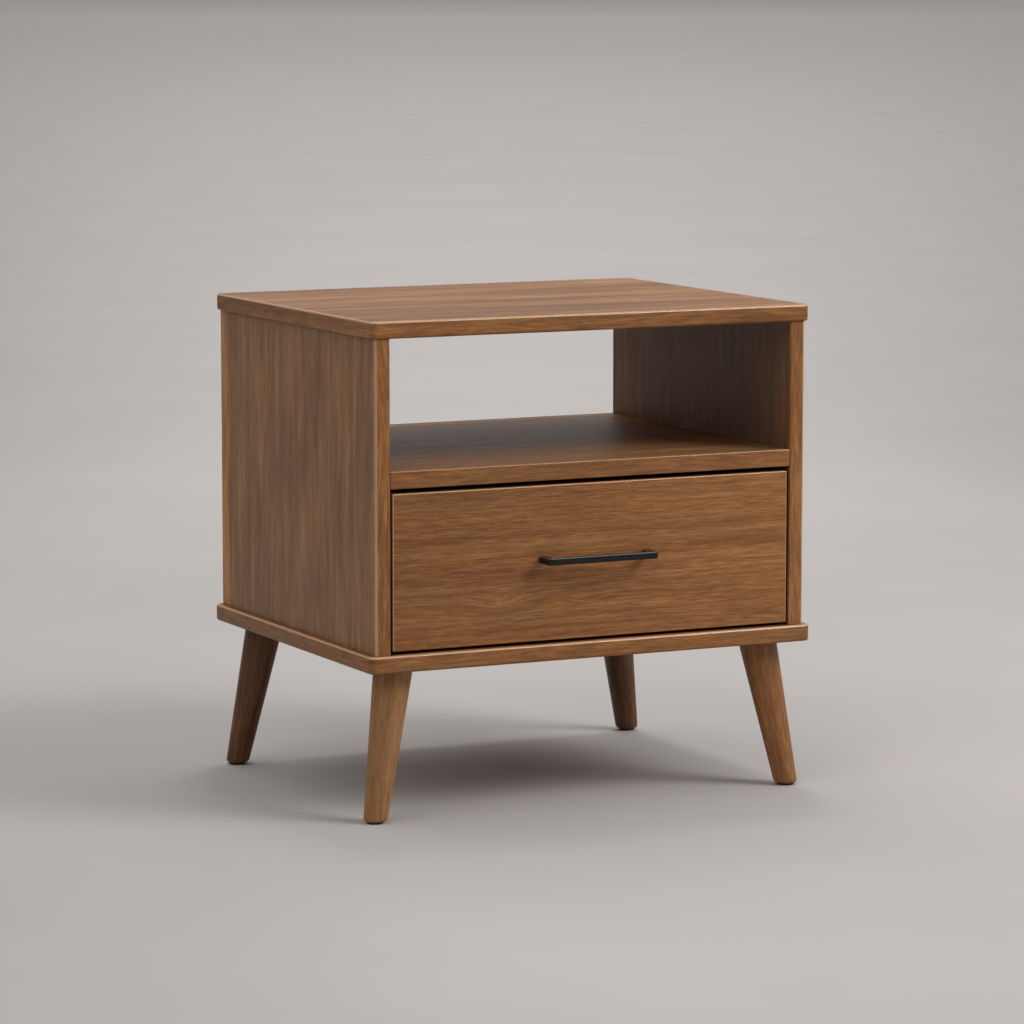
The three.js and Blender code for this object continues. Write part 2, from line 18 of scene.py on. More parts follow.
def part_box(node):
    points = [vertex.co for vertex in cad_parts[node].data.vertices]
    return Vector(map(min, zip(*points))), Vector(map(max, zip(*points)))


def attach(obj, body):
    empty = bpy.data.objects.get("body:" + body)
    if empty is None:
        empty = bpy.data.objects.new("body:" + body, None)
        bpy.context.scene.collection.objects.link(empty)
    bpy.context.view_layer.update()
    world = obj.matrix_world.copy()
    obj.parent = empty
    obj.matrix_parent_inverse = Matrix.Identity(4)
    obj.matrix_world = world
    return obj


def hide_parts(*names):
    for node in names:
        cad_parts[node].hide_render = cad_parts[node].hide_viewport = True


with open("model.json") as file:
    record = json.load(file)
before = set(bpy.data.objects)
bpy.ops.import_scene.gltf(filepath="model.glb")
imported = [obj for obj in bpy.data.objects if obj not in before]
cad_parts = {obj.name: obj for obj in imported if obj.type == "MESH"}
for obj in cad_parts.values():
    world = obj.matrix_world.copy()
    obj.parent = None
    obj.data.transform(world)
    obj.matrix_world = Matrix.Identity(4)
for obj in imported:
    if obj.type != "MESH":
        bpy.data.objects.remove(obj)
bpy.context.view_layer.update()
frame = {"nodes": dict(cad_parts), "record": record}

MM = 0.001

X, Y, Z = 0, 1, 2
HANDS = {"left": -1, "right": 1}  # and the sign of X on each
CORNERS = [f"{depth}_{hand}" for depth in ("front", "rear") for hand in HANDS]

# ------------------------------------------------------------------ sizes that the frame doesn't give

# A rounding is its radius and the number of steps round it.
PLAN_CORNER = (8 * MM, 12)  # corners of the top and the base, seen from above
BOARD_ARRIS = (3 * MM, 5)  # arrises of the top and the base
SIDE_ARRIS = (3 * MM, 10)  # outer front arris of a side
SIDE_REAR_ARRIS = (2 * MM, 5)
FINE_ARRIS = (1.1 * MM, 3)  # the fine arrises of the sides, the shelf and the drawer front
JOINT_ARRIS = (0.5 * MM, 2)  # where a side meets the top and the base
BACK_ARRIS = (0.3 * MM, 2)
HANDLE_END = (4.2 * MM, 8)
HANDLE_BEND = (1.6 * MM, 6)
HANDLE_ARRIS = (1.5 * MM, 4)

LIPPING = 4 * MM  # depth of the solid wood strip on a side's front edge
PALE_EDGE = (34 * MM, 22 * MM)  # a side's veneer turns paler between these distances from its rear edge
SHELF_GAP = 0.25 * MM  # a fine dark line between the shelf's ends and the sides
PLY = 1.35 * MM  # thickness of one ply of the drawer box
PLY_ARRIS = 1.2 * MM
PLY_ARRIS_STEPS = 3

LEG_TOP_RADIUS = 22 * MM
LEG_FOOT_RADIUS = 13.5 * MM
FOOT_ROUNDING = 4.5 * MM
FOOT_STEPS = 8
LEG_STEPS = 24
LEG_TURNS = 64

SCREW_TURNS = 32
RECESS_DEPTH = 1.3 * MM
RECESS_TAPER = 0.45
RECESS_SLIMNESS = 7  # length of an arm of a cross recess over half its width
SMALL_RECESS = 3.6 * MM  # length of its arms
LARGE_RECESS = 5.2 * MM
PAD_EDGE = 0.6 * MM

SLIDE_METAL = 1.2 * MM
SLIDE_BEND = 2.4 * MM
BEND_STEPS = 4
RIM_LIP = 0.9 * MM
SLOT_REACH = 3 * MM  # of a slot's cutter, each way through the web
CAGE_METAL = 0.5 * MM
CAGE_BEND = 1.2 * MM
CAGE_CORNER = 0.1 * MM
CAGE_BALLS = 5
BALL = 1.5 * MM
BALL_FROM_RIM = {"outer": 2.3 * MM, "inner": 1.8 * MM}
WINDOW_LENGTH = 0.6  # of the pitch of the balls
WINDOW_HEIGHT = 0.35

# The slots punched in each channel, in millimetres: place from the front end, length, height.
SLOTS = {
    "outer": [
        (12, 7, 4.2), (48, 14, 5), (75, 14, 5), (112, 9, 9),
        (150, 30, 6), (208, 30, 6), (255, 14, 5), (340, 7, 4.2),
    ],
    "middle": [(14, 8, 5), (100, 26, 7), (175, 26, 7), (250, 26, 7), (336, 8, 5)],
    "inner": [
        (14, 8, 4), (58, 12, 4.2), (90, 12, 4.2),
        (130, 24, 5), (190, 24, 5), (250, 24, 5), (338, 7, 4),
    ],
}

# ------------------------------------------------------------------ node materials

# The numbers that places are multiplied by are the noise's cells per metre.


class Graph:
    """A node material in the making. A value is a number, a colour, a vector or another node's socket."""

    def __init__(self, name):
        self.material = bpy.data.materials.new(name)
        self.material.use_nodes = True
        self.tree = self.material.node_tree
        self.tree.nodes.clear()

    def plug(self, socket, value):
        if isinstance(value, bpy.types.NodeSocket):
            self.tree.links.new(value, socket)
        else:
            socket.default_value = value

    def node(self, kind, inputs=None, **settings):
        made = self.tree.nodes.new("ShaderNode" + kind)
        for key, value in settings.items():
            setattr(made, key, value)
        for key, value in (inputs or {}).items():
            self.plug(made.inputs[key], value)
        return made

    def math(self, operation, a, b=0.0, clamp=False):
        return self.node("Math", {0: a, 1: b}, operation=operation, use_clamp=clamp).outputs[0]

    def add(self, a, b):
        return self.math("ADD", a, b)

    def times(self, a, b):
        return self.math("MULTIPLY", a, b)

    def centred(self, value, gain):
        """A value that runs from 0 to 1, as one that runs from -gain/2 to gain/2."""
        return self.times(self.math("SUBTRACT", value, 0.5), gain)

    def vector(self, x, y, z):
        return self.node("CombineXYZ", {0: x, 1: y, 2: z}).outputs[0]

    def noise(self, vector, detail=2.0, roughness=0.5):
        inputs = {"Vector": vector, "Scale": 1.0, "Detail": detail, "Roughness": roughness}
        return self.node("TexNoise", inputs).outputs[0]

    def between(self, value, low, high):
        """0 up to low, 1 from high, and a smooth step between them."""
        inputs = {"Value": value, "From Min": low, "From Max": high}
        return self.node("MapRange", inputs, interpolation_type="SMOOTHSTEP").outputs[0]

    def ramp(self, factor, stops):
        """A colour ramp through (place, sRGB colour) stops."""
        made = self.node("ValToRGB", {0: factor})
        elements = made.color_ramp.elements
        while len(elements) < len(stops):
            elements.new(0.5)
        for element, (place, colour) in zip(elements, stops):
            element.position = place
            element.color = (*linear(colour), 1.0)
        return made.outputs[0]

    def mix(self, factor, a, b):
        made = self.node("Mix", data_type="RGBA")
        self.plug(made.inputs[0], factor)
        self.plug(made.inputs[6], a)
        self.plug(made.inputs[7], b)
        return made.outputs[2]

    def attribute(self, name):
        return self.node("Attribute", attribute_name=name)

    def finish(self, bump=None, bump_depth=0.0, **inputs):
        shader = self.node("BsdfPrincipled", {k.replace("_", " "): v for k, v in inputs.items()})
        if bump is not None:
            made = self.node("Bump", {"Height": bump, "Distance": bump_depth, "Strength": 1.0})
            self.tree.links.new(made.outputs[0], shader.inputs["Normal"])
        output = self.node("OutputMaterial")
        self.tree.links.new(shader.outputs[0], output.inputs[0])
        return self.material


def linear(colour):
    """Three sRGB numbers from 0 to 255 as linear light."""
    shares = [c / 255 for c in colour]
    return [s / 12.92 if s <= 0.04045 else ((s + 0.055) / 1.055) ** 2.4 for s in shares]


SEED_STRIDE = 7.31  # how far apart in the noise two boards lie
WALNUT = [(0.0, (70, 41, 20)), (0.3, (114, 70, 36)), (0.55, (142, 93, 50)), (1.0, (188, 136, 84))]
ASH = (114, 90, 65)
# Paler colour for the arrises: partly rubbed wear, partly a painted highlight where they catch the light.
RUBBED_AND_HIGHLIGHT = (212, 172, 138)
RUBBED_AND_HIGHLIGHT_SHARE = 0.35
PALE_LIFT = 0.14
PORE = (52, 30, 14)

# How deep bumps are, in metres.
FIBRE_DEPTH = 0.00005
SPECKLE_DEPTH = 0.00008
PEEL_DEPTH = 0.00002


def walnut(
    name, seed, eyes=(), tone=0.0, contrast=1.0, broad=1.0, ashy=0.35, even=0.0, drift=0.0, pale=None,
    reach=1.0, spread=1.0, wavy=1.0,
):
    """Lacquered walnut. The grain attribute is (along, across, into the wood) in metres.

    An eye is (along, across, length, width, lift), a place where the grain flows round a knot.
    tone lightens the board and drift lightens it towards one end. contrast is for all its streaks,
    and broad for the widest ones besides. ashy is how grey its grey bands are, and even is how grey
    the wood between them is, as a share of that. pale is the pair of places across the board
    between which it turns to its paler edge. reach, spread and wavy stretch the streaks' lengths,
    their widths and the sway of the grain.
    """
    g = Graph(name)
    parts = g.node("SeparateXYZ", {0: g.attribute("grain").outputs["Vector"]}).outputs
    along, across, into = parts[0], parts[1], parts[2]
    shift = seed * SEED_STRIDE

    # The grain's own sway and its eyes bend every finer pattern together.
    def wave(cells_along, cells_across):
        x = g.add(g.times(along, cells_along), shift)
        return g.noise(g.vector(x, g.times(across, cells_across), g.times(into, cells_across)), 1.0)

    sway = wave(3.5, 9.0)
    curl = wave(16.0, 40.0)
    bent = g.add(across, g.add(g.centred(sway, 0.024 * wavy), g.centred(curl, 0.003 * wavy)))
    for eye_along, eye_across, length, width, lift in eyes:
        u = g.times(g.math("SUBTRACT", along, eye_along), 1 / length)
        v = g.times(g.math("SUBTRACT", across, eye_across), 1 / width)
        far = g.add(g.times(u, u), g.times(v, v))
        bent = g.add(bent, g.times(g.math("EXPONENT", g.times(far, -1.0)), lift))

    def streaks(length, width, offset, detail=2.0, roughness=0.5):
        """Noise drawn out along the grain, with streaks of this length and width in metres."""
        x = g.add(g.times(along, 1 / length), shift + offset)
        return g.noise(g.vector(x, g.times(bent, 1 / width), g.times(into, 1 / width)), detail, roughness)

    bands = streaks(0.30 * reach, 0.030 * spread, offset=3.1, detail=3.0)
    strands = streaks(0.22 * reach, 0.0085 * spread, offset=7.7)
    threads = streaks(0.040 * max(1.0, reach), 0.0034 * spread, offset=29.3, roughness=0.6)
    fibres = streaks(0.022, 0.0013, offset=11.9, roughness=0.65)
    pores = streaks(0.012, 0.0007, offset=17.3, detail=1.0, roughness=0.6)
    patches = streaks(0.25, 0.016, offset=23.0, detail=1.0)
    dashes = streaks(0.020, 0.0016, offset=41.0, detail=1.0)
    grey_bands = streaks(0.60, 0.020, offset=53.0)
    pore_mask = g.times(g.between(pores, 0.57, 0.70), g.between(patches, 0.30, 0.60))
    dash_mask = g.times(g.between(dashes, 0.60, 0.74), g.between(patches, 0.62, 0.40))

    layers = [(bands, 0.28 * broad), (strands, 0.28), (threads, 0.50), (fibres, 0.62)]
    factor = g.add(g.times(along, drift), 0.5 + tone)
    for value, gain in layers:
        factor = g.add(factor, g.centred(value, gain * contrast))
    greyed = g.times(g.between(grey_bands, 0.42, 0.66), ashy * (1.0 - even))
    greyed = g.add(greyed, ashy * even)
    if pale:
        edge = g.between(across, *pale)
        factor = g.add(factor, g.times(edge, PALE_LIFT))
        greyed = g.times(greyed, g.math("SUBTRACT", 1.0, edge))
    colour = g.ramp(g.math("ADD", factor, 0.0, clamp=True), WALNUT)
    colour = g.mix(greyed, colour, (*linear(ASH), 1.0))
    # The arrises are painted paler: partly rubbed wear, partly a painted highlight.
    arris = g.attribute("arris").outputs["Fac"]
    colour = g.mix(g.times(arris, RUBBED_AND_HIGHLIGHT_SHARE), colour, (*linear(RUBBED_AND_HIGHLIGHT), 1.0))
    dark = g.add(g.times(pore_mask, 0.30), g.times(dash_mask, 0.22))
    colour = g.mix(dark, colour, (*linear(PORE), 1.0))

    roughness = g.add(0.42, g.centred(fibres, 0.14))
    roughness = g.add(roughness, g.add(g.times(pore_mask, 0.18), g.times(arris, -0.14)))
    height = g.add(g.times(fibres, 0.4), g.math("SUBTRACT", 1.0, pore_mask))
    return g.finish(
        bump=height,
        bump_depth=FIBRE_DEPTH,
        Base_Color=colour,
        Roughness=roughness,
        Specular_IOR_Level=0.32,
    )


BIRCH = [(0.0, (186, 150, 108)), (0.5, (212, 180, 138)), (1.0, (232, 206, 168))]
BIRCH_FLECK = (150, 112, 74)
BIRCH_EDGE_PALE = [(0.3, (196, 158, 114)), (0.7, (222, 190, 148))]
BIRCH_EDGE_DARK = [(0.3, (122, 84, 54)), (0.7, (160, 120, 82))]
GLUE = (92, 62, 40)


def birch_face(name, seed):
    """The pale face veneer of plywood."""
    g = Graph(name)
    parts = g.node("SeparateXYZ", {0: g.attribute("grain").outputs["Vector"]}).outputs
    along, across, into = parts[0], parts[1], parts[2]
    sway = g.noise(g.vector(g.add(g.times(along, 4.0), seed), g.times(across, 14.0), into), 2.0)
    bent = g.add(across, g.centred(sway, 0.03))
    broad = g.noise(g.vector(g.times(along, 2.0), g.times(bent, 26.0), seed), 3.0)
    fine = g.noise(g.vector(g.times(along, 30.0), g.times(bent, 900.0), seed), 2.0)
    flecks = g.noise(g.vector(g.times(along, 120.0), g.times(bent, 700.0), seed + 4), 1.0)
    factor = g.add(g.centred(broad, 0.7), g.centred(fine, 0.35))
    factor = g.math("ADD", factor, 0.5, clamp=True)
    colour = g.ramp(factor, BIRCH)
    colour = g.mix(g.times(g.between(flecks, 0.62, 0.72), 0.25), colour, (*linear(BIRCH_FLECK), 1.0))
    return g.finish(
        bump=fine,
        bump_depth=FIBRE_DEPTH,
        Base_Color=colour,
        Roughness=g.add(0.5, g.centred(fine, 0.15)),
        Specular_IOR_Level=0.4,
        Coat_Weight=0.1,
        Coat_Roughness=0.35,
    )


def birch_edge(name, ply):
    """The cut edge of plywood. The grain attribute's second number runs across the plies."""
    g = Graph(name)
    parts = g.node("SeparateXYZ", {0: g.attribute("grain").outputs["Vector"]}).outputs
    along, across = parts[0], parts[1]
    wander = g.noise(g.vector(g.times(along, 25.0), g.times(across, 120.0), 0.0), 2.0)
    layer = g.math("PINGPONG", g.add(g.times(across, 1 / ply), g.centred(wander, 0.25)), 1.0)
    end_grain = g.between(layer, 0.42, 0.58)
    speckle = g.noise(g.vector(g.times(along, 1600.0), g.times(across, 1600.0), 0.0), 2.0)
    streak = g.noise(g.vector(g.times(along, 60.0), g.times(across, 2500.0), 2.0), 2.0)
    pale = g.ramp(streak, BIRCH_EDGE_PALE)
    dark = g.ramp(speckle, BIRCH_EDGE_DARK)
    glue = g.between(g.math("ABSOLUTE", g.math("SUBTRACT", layer, 0.5)), 0.09, 0.03)
    colour = g.mix(end_grain, pale, dark)
    colour = g.mix(g.times(glue, 0.5), colour, (*linear(GLUE), 1.0))
    return g.finish(
        bump=speckle,
        bump_depth=SPECKLE_DEPTH,
        Base_Color=colour,
        Roughness=g.add(0.6, g.centred(speckle, 0.2)),
        Specular_IOR_Level=0.3,
    )


def own_place(g, scale):
    """The piece's own coordinates, scaled."""
    place = g.node("TexCoord").outputs["Object"]
    return g.node("VectorMath", {0: place, 1: (scale,) * 3}, operation="MULTIPLY").outputs[0]


COAT = [(0.0, (8, 8, 8)), (1.0, (30, 29, 28))]
# Painted highlight: the paler grey laid on the coat's upward arrises.
COAT_HIGHLIGHT = (92, 91, 88)
COAT_HIGHLIGHT_SHARE = 0.6


def black_coat(name):
    """Satin powder coat with its fine orange peel, and a painted highlight, a paler grey, along its arrises
    that look up.
    """
    g = Graph(name)
    peel = g.noise(own_place(g, 2600.0), 2.0)
    patch = g.noise(own_place(g, 60.0), 3.0)
    arris = g.attribute("arris").outputs["Fac"]
    shade = g.add(g.centred(patch, 0.3), 0.4)
    colour = g.ramp(shade, COAT)
    # Painted highlight along the arrises.
    colour = g.mix(g.times(arris, COAT_HIGHLIGHT_SHARE), colour, (*linear(COAT_HIGHLIGHT), 1.0))
    roughness = g.add(g.add(0.36, g.centred(patch, 0.12)), g.centred(peel, 0.10))
    return g.finish(
        bump=peel,
        bump_depth=PEEL_DEPTH,
        Base_Color=colour,
        Roughness=roughness,
        Specular_IOR_Level=0.28,
    )


ROLLED_GRAIN = (400.0, 12.0, 400.0)


def plated(name, dark, light, roughness):
    """Bright plated metal with a rolled grain along Y and cloudy plating."""
    g = Graph(name)
    place = g.node("TexCoord").outputs["Object"]
    rolled = g.node("VectorMath", {0: place, 1: ROLLED_GRAIN}, operation="MULTIPLY").outputs[0]
    lines = g.noise(rolled, 3.0)
    cloud = g.noise(own_place(g, 90.0), 3.0)
    factor = g.math("ADD", g.add(g.centred(lines, 0.5), g.centred(cloud, 0.9)), 0.5, clamp=True)
    return g.finish(
        bump=lines,
        bump_depth=PEEL_DEPTH,
        Base_Color=g.ramp(factor, [(0.0, dark), (1.0, light)]),
        Metallic=1.0,
        Roughness=g.add(roughness, g.add(g.centred(lines, 0.12), g.centred(cloud, 0.2))),
    )


def dull_plastic(name, dark, light):
    """Moulded plastic with a fine speckle."""
    g = Graph(name)
    speckle = g.noise(own_place(g, 1500.0), 3.0)
    cloud = g.noise(own_place(g, 120.0), 2.0)
    factor = g.math("ADD", g.add(g.centred(speckle, 0.6), g.centred(cloud, 0.6)), 0.5, clamp=True)
    return g.finish(
        bump=speckle,
        bump_depth=SPECKLE_DEPTH,
        Base_Color=g.ramp(factor, [(0.0, dark), (1.0, light)]),
        Roughness=g.add(0.8, g.centred(speckle, 0.2)),
        Specular_IOR_Level=0.3,
    )


# ------------------------------------------------------------------ meshes


def box_mesh(lo, hi):
    """A box between two corners."""
    bm = bmesh.new()
    bmesh.ops.create_cube(bm, size=1.0)
    for v in bm.verts:
        v.co = Vector((lo[i] + (v.co[i] + 0.5) * (hi[i] - lo[i]) for i in range(3)))
    return bm


def is_sharp(edge, degrees=40):
    return len(edge.link_faces) == 2 and edge.calc_face_angle() > math.radians(degrees)


def runs_along(edge, axis):
    way = (edge.verts[1].co - edge.verts[0].co).normalized()
    return abs(way[axis]) > 0.99


def middle(edge):
    return (edge.verts[0].co + edge.verts[1].co) / 2


def is_square(edge):
    return is_sharp(edge, degrees=60)


def ease(bm, rounding, chosen=is_sharp):
    """Rounds the chosen edges."""
    radius, steps = rounding
    edges = [e for e in bm.edges if chosen(e)]
    settings = {"offset": radius, "segments": steps, "profile": 0.5, "affect": "EDGES"}
    bmesh.ops.bevel(bm, geom=edges, clamp_overlap=True, **settings)


def add_mesh(bm, other, material_index):
    """Copies another bmesh into this one, as faces of this material, and frees it."""
    for f in other.faces:
        f.material_index = material_index
    mesh = bpy.data.meshes.new("part")
    other.to_mesh(mesh)
    other.free()
    bm.from_mesh(mesh)
    bpy.data.meshes.remove(mesh)


def subtract(bm, cutter):
    """The first solid with the second cut out of it. Both bmeshes are used up."""
    parts = []
    for source in (bm, cutter):
        bmesh.ops.recalc_face_normals(source, faces=source.faces)
        mesh = bpy.data.meshes.new("part")
        source.to_mesh(mesh)
        source.free()
        parts.append(bpy.data.objects.new("part", mesh))
        bpy.context.scene.collection.objects.link(parts[-1])
    cut = parts[0].modifiers.new("cut", "BOOLEAN")
    cut.operation = "DIFFERENCE"
    cut.solver = "EXACT"
    cut.object = parts[1]
    evaluated = parts[0].evaluated_get(bpy.context.evaluated_depsgraph_get())
    made = bmesh.new()
    made.from_mesh(evaluated.to_mesh())
    evaluated.to_mesh_clear()
    for part in parts:
        mesh = part.data
        bpy.data.objects.remove(part)
        bpy.data.meshes.remove(mesh)
    return made


# How far into the wood each veneer and strip lies: far enough apart for each to have its own figure.
UPPER_SHEET = 0.4
LOWER_SHEET = 1.1
FRONT_STRIP = 1.9
REAR_STRIP = 2.3
FACING = 0.75  # a face whose normal reaches this far along an axis faces that way


def grain_rule(grain_axis, thickness_axis, low):
    """Where a point of a board lies in its wood: the faces' veneer, or the strip round the edges.

    low is the board's lowest corner. The strip's grain runs round the board and turns its corners.
    """
    across_axis = 3 - grain_axis - thickness_axis

    def rule(point, normal):
        if abs(normal[thickness_axis]) > FACING:
            sheet = UPPER_SHEET if normal[thickness_axis] > 0 else LOWER_SHEET
            return point[grain_axis], point[across_axis], sheet
        if normal[across_axis] > 0.5:
            return point[grain_axis] + 3.0, point[thickness_axis], REAR_STRIP
        turn = math.copysign(point[across_axis] - low[across_axis], point[grain_axis])
        return point[grain_axis] + turn, point[thickness_axis] + 0.7, FRONT_STRIP

    return rule


def upper_arris_wear_and_highlight(normal):
    """The fine paler line along a rounded edge that looks up and out: partly rubbed wear, partly a painted
    highlight.
    """
    return 1.8 if 0.45 < normal.z < 0.97 else 0.0


def no_arris(normal):
    return 0.0


def paint(mesh, rule, arris_rule):
    """Writes the grain and arris attributes."""
    mesh.attributes.new("grain", "FLOAT_VECTOR", "CORNER")
    mesh.attributes.new("arris", "FLOAT", "CORNER")
    grain, arris = mesh.attributes["grain"], mesh.attributes["arris"]
    for face in mesh.polygons:
        # The arris value paints a rounded edge paler: partly rubbed wear, partly a painted highlight.
        wear_and_highlight = arris_rule(face.normal)
        for loop in face.loop_indices:
            point = mesh.vertices[mesh.loops[loop].vertex_index].co
            grain.data[loop].vector = rule(point, face.normal)
            arris.data[loop].value = wear_and_highlight


SMOOTH_UP_TO = 50  # degrees


def make(name, bm, materials, body, replaces, rule=None, arris_rule=upper_arris_wear_and_highlight):
    """Turns a bmesh into a piece that rides on a body and stands for CAD nodes."""
    mesh = bpy.data.meshes.new(name)
    bmesh.ops.recalc_face_normals(bm, faces=bm.faces)
    bm.to_mesh(mesh)
    bm.free()
    for material in materials:
        mesh.materials.append(material)
    if rule:
        paint(mesh, rule, arris_rule)
    piece = bpy.data.objects.new(name, mesh)
    bpy.context.scene.collection.objects.link(piece)
    mesh.shade_smooth()
    mesh.set_sharp_from_angle(angle=math.radians(SMOOTH_UP_TO))
    weighted = piece.modifiers.new("even faces", "WEIGHTED_NORMAL")
    weighted.keep_sharp = True
    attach(piece, body)
    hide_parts(*replaces)


# ------------------------------------------------------------------ carcass


def slab(node, material, holes=()):
    """The top or the base: round corners in plan and rounded arrises."""
    lo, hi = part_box(node)
    bm = box_mesh(lo, hi)
    ease(bm, PLAN_CORNER, lambda e: runs_along(e, Z))
    ease(bm, BOARD_ARRIS, is_square)
    for hole in holes:
        bm = subtract(bm, hole)
    make(node + "_veneered", bm, [material], "cabinet", [node], grain_rule(X, Z, lo))


def side(hand, sign, face, lipping):
    """A side: veneered, with a solid strip down its front edge whose outer arris is well rounded."""
    node = f"{hand}_side_panel"
    lo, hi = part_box(node)
    inner_x = lo[X] if sign > 0 else hi[X]
    outer_x = hi[X] if sign > 0 else lo[X]
    bm = box_mesh(lo, hi)

    def upright(edge, x, y):
        at = middle(edge)
        return runs_along(edge, Z) and abs(at.x - x) < MM and abs(at.y - y) < MM

    ease(bm, SIDE_ARRIS, lambda e: upright(e, outer_x, lo[Y]))
    ease(bm, SIDE_REAR_ARRIS, lambda e: upright(e, outer_x, hi[Y]))
    ease(bm, FINE_ARRIS, lambda e: upright(e, inner_x, lo[Y]) or upright(e, inner_x, hi[Y]))
    ease(bm, JOINT_ARRIS, is_square)
    cut_y = lo[Y] + LIPPING
    geometry = bm.verts[:] + bm.edges[:] + bm.faces[:]
    bmesh.ops.bisect_plane(bm, geom=geometry, plane_co=(0, cut_y, 0), plane_no=(0, 1, 0))
    for f in bm.faces:
        f.material_index = 1 if f.calc_center_median().y < cut_y else 0

    def rule(point, normal):
        if point.y < cut_y + MM / 100 and normal.y < 0.5:
            return point.z, point.x + 0.3 * point.y, 2.0 + point.y
        return point.z, point.y, 0.4 + sign * math.copysign(0.2, normal.x)

    def front_arris_wear_and_highlight(normal):
        """The paler line down the outer front arris: partly rubbed wear, partly a painted highlight."""
        return 1.7 if normal.y < -0.2 and normal.x * sign > 0.2 else 0.0

    make(node + "_veneered", bm, [face, lipping], "cabinet", [node], rule, front_arris_wear_and_highlight)


def shelf(face, edge):
    """The shelf, seen between the sides, with its front edge in a wood of its own."""
    node = "shelf_panel"
    lo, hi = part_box(node)
    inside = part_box("right_side_panel")[0][X] - SHELF_GAP
    lo, hi = Vector((-inside, lo.y, lo.z)), Vector((inside, hi.y, hi.z))
    bm = box_mesh(lo, hi)
    ease(bm, FINE_ARRIS)
    for f in bm.faces:
        f.normal_update()
        f.material_index = 0 if abs(f.normal.z) > FACING else 1
    make(node + "_veneered", bm, [face, edge], "cabinet", [node], grain_rule(X, Z, lo))


def back(material):
    """The thin board behind the drawer."""
    node = "lower_back_panel"
    lo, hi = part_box(node)
    bm = box_mesh(lo, hi)
    ease(bm, BACK_ARRIS)
    make(node + "_veneered", bm, [material], "cabinet", [node], grain_rule(X, Y, lo))


# ------------------------------------------------------------------ legs


def rings(profiles, turns):
    """A closed skin through rings of points. Each ring is (centre, radius); a radius of 0 is a tip."""
    bm = bmesh.new()
    loops = []
    for centre, radius in profiles:
        if radius == 0:
            loops.append([bm.verts.new(centre)])
            continue
        loops.append([
            bm.verts.new(centre + radius * Vector((math.cos(a), math.sin(a), 0)))
            for a in (2 * math.pi * i / turns for i in range(turns))
        ])
    for below, above in zip(loops, loops[1:]):
        for i in range(turns):
            j = (i + 1) % turns
            corners = [below[i % len(below)], below[j % len(below)]]
            corners += [above[j % len(above)], above[i % len(above)]]
            bm.faces.new(list(dict.fromkeys(corners)))
    return bm


def leg(where, material):
    """A turned leg that leans outwards both ways, cut level at the base and rounded at the foot."""
    node = f"leg_{where}"
    lo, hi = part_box(node)
    pad_lo, pad_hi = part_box(f"foot_pad_{where}")
    bolt_lo, bolt_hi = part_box(f"leg_bolt_{where}")
    ground = (pad_lo + pad_hi) / 2
    ground.z = pad_lo.z
    top = (bolt_lo + bolt_hi) / 2
    top.z = hi.z
    foot = top.lerp(ground, (top.z - lo.z) / (top.z - ground.z))

    def centre(z):
        return top.lerp(foot, (top.z - z) / (top.z - foot.z))

    profile = [(centre(foot.z), 0)]
    for i in range(FOOT_STEPS + 1):
        a = math.pi / 2 * i / FOOT_STEPS
        z = foot.z + FOOT_ROUNDING * (1 - math.cos(a))
        profile.append((centre(z), LEG_FOOT_RADIUS - FOOT_ROUNDING * (1 - math.sin(a))))
    start = foot.z + FOOT_ROUNDING
    for i in range(1, LEG_STEPS + 1):
        z = start + (top.z - start) * i / LEG_STEPS
        profile.append((centre(z), LEG_FOOT_RADIUS + (LEG_TOP_RADIUS - LEG_FOOT_RADIUS) * i / LEG_STEPS))
    profile.append((centre(top.z), 0))
    bm = rings(profile, LEG_TURNS)

    def rule(point, normal):
        on_axis = centre(point.z)
        return point.z, point.x - on_axis.x, point.y - on_axis.y

    make(node + "_turned", bm, [material], "cabinet", [node], rule, no_arris)


# ------------------------------------------------------------------ screws and pads


def recess_arm(across, turn):
    """A cutter for one arm of a cross recess at the origin, narrowing downwards."""
    half_length = across / 2
    half_width = across / RECESS_SLIMNESS
    bm = box_mesh((-half_length, -half_width, -RECESS_DEPTH), (half_length, half_width, RECESS_DEPTH))
    for v in bm.verts:
        if v.co.z < 0:
            v.co.x *= RECESS_TAPER
    bmesh.ops.rotate(bm, verts=bm.verts, matrix=Matrix.Rotation(turn, 3, "Z"))
    return bm


def screw(node, way, head, across, body):
    """A turned screw that points along way, with a cross recess. head gives its profile from its length."""
    lo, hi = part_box(node)
    length = abs((hi - lo).dot(way))
    bm = rings([(Vector((0, 0, z)), r) for r, z in head(length)], SCREW_TURNS)
    bmesh.ops.recalc_face_normals(bm, faces=bm.faces)
    for turn in (0.0, math.pi / 2):
        bm = subtract(bm, recess_arm(across, turn))
    start = (lo + hi) / 2 - way * length / 2
    place = Matrix.Translation(start) @ (-way).to_track_quat("Z", "Y").to_matrix().to_4x4()
    bmesh.ops.transform(bm, matrix=place, verts=bm.verts)
    make(node + "_turned", bm, [bpy.data.materials["zinc"]], body, [node])


def pan_head(length, radius=3.75 * MM, height=2.2 * MM, shank=2 * MM, point=2 * MM, tip=0.4 * MM):
    """The profile of a pan-head screw, from its top at height 0 down to its tip."""
    rise = height * 0.75
    angles = [math.radians(15 * i) for i in range(1, 7)]
    dome = [(radius * math.sin(a), rise * (math.cos(a) - 1)) for a in angles]
    stem = [(radius, -height), (shank, -height), (shank, point - length)]
    return [(0, 0), *dome, *stem, (tip, -length), (0, -length)]


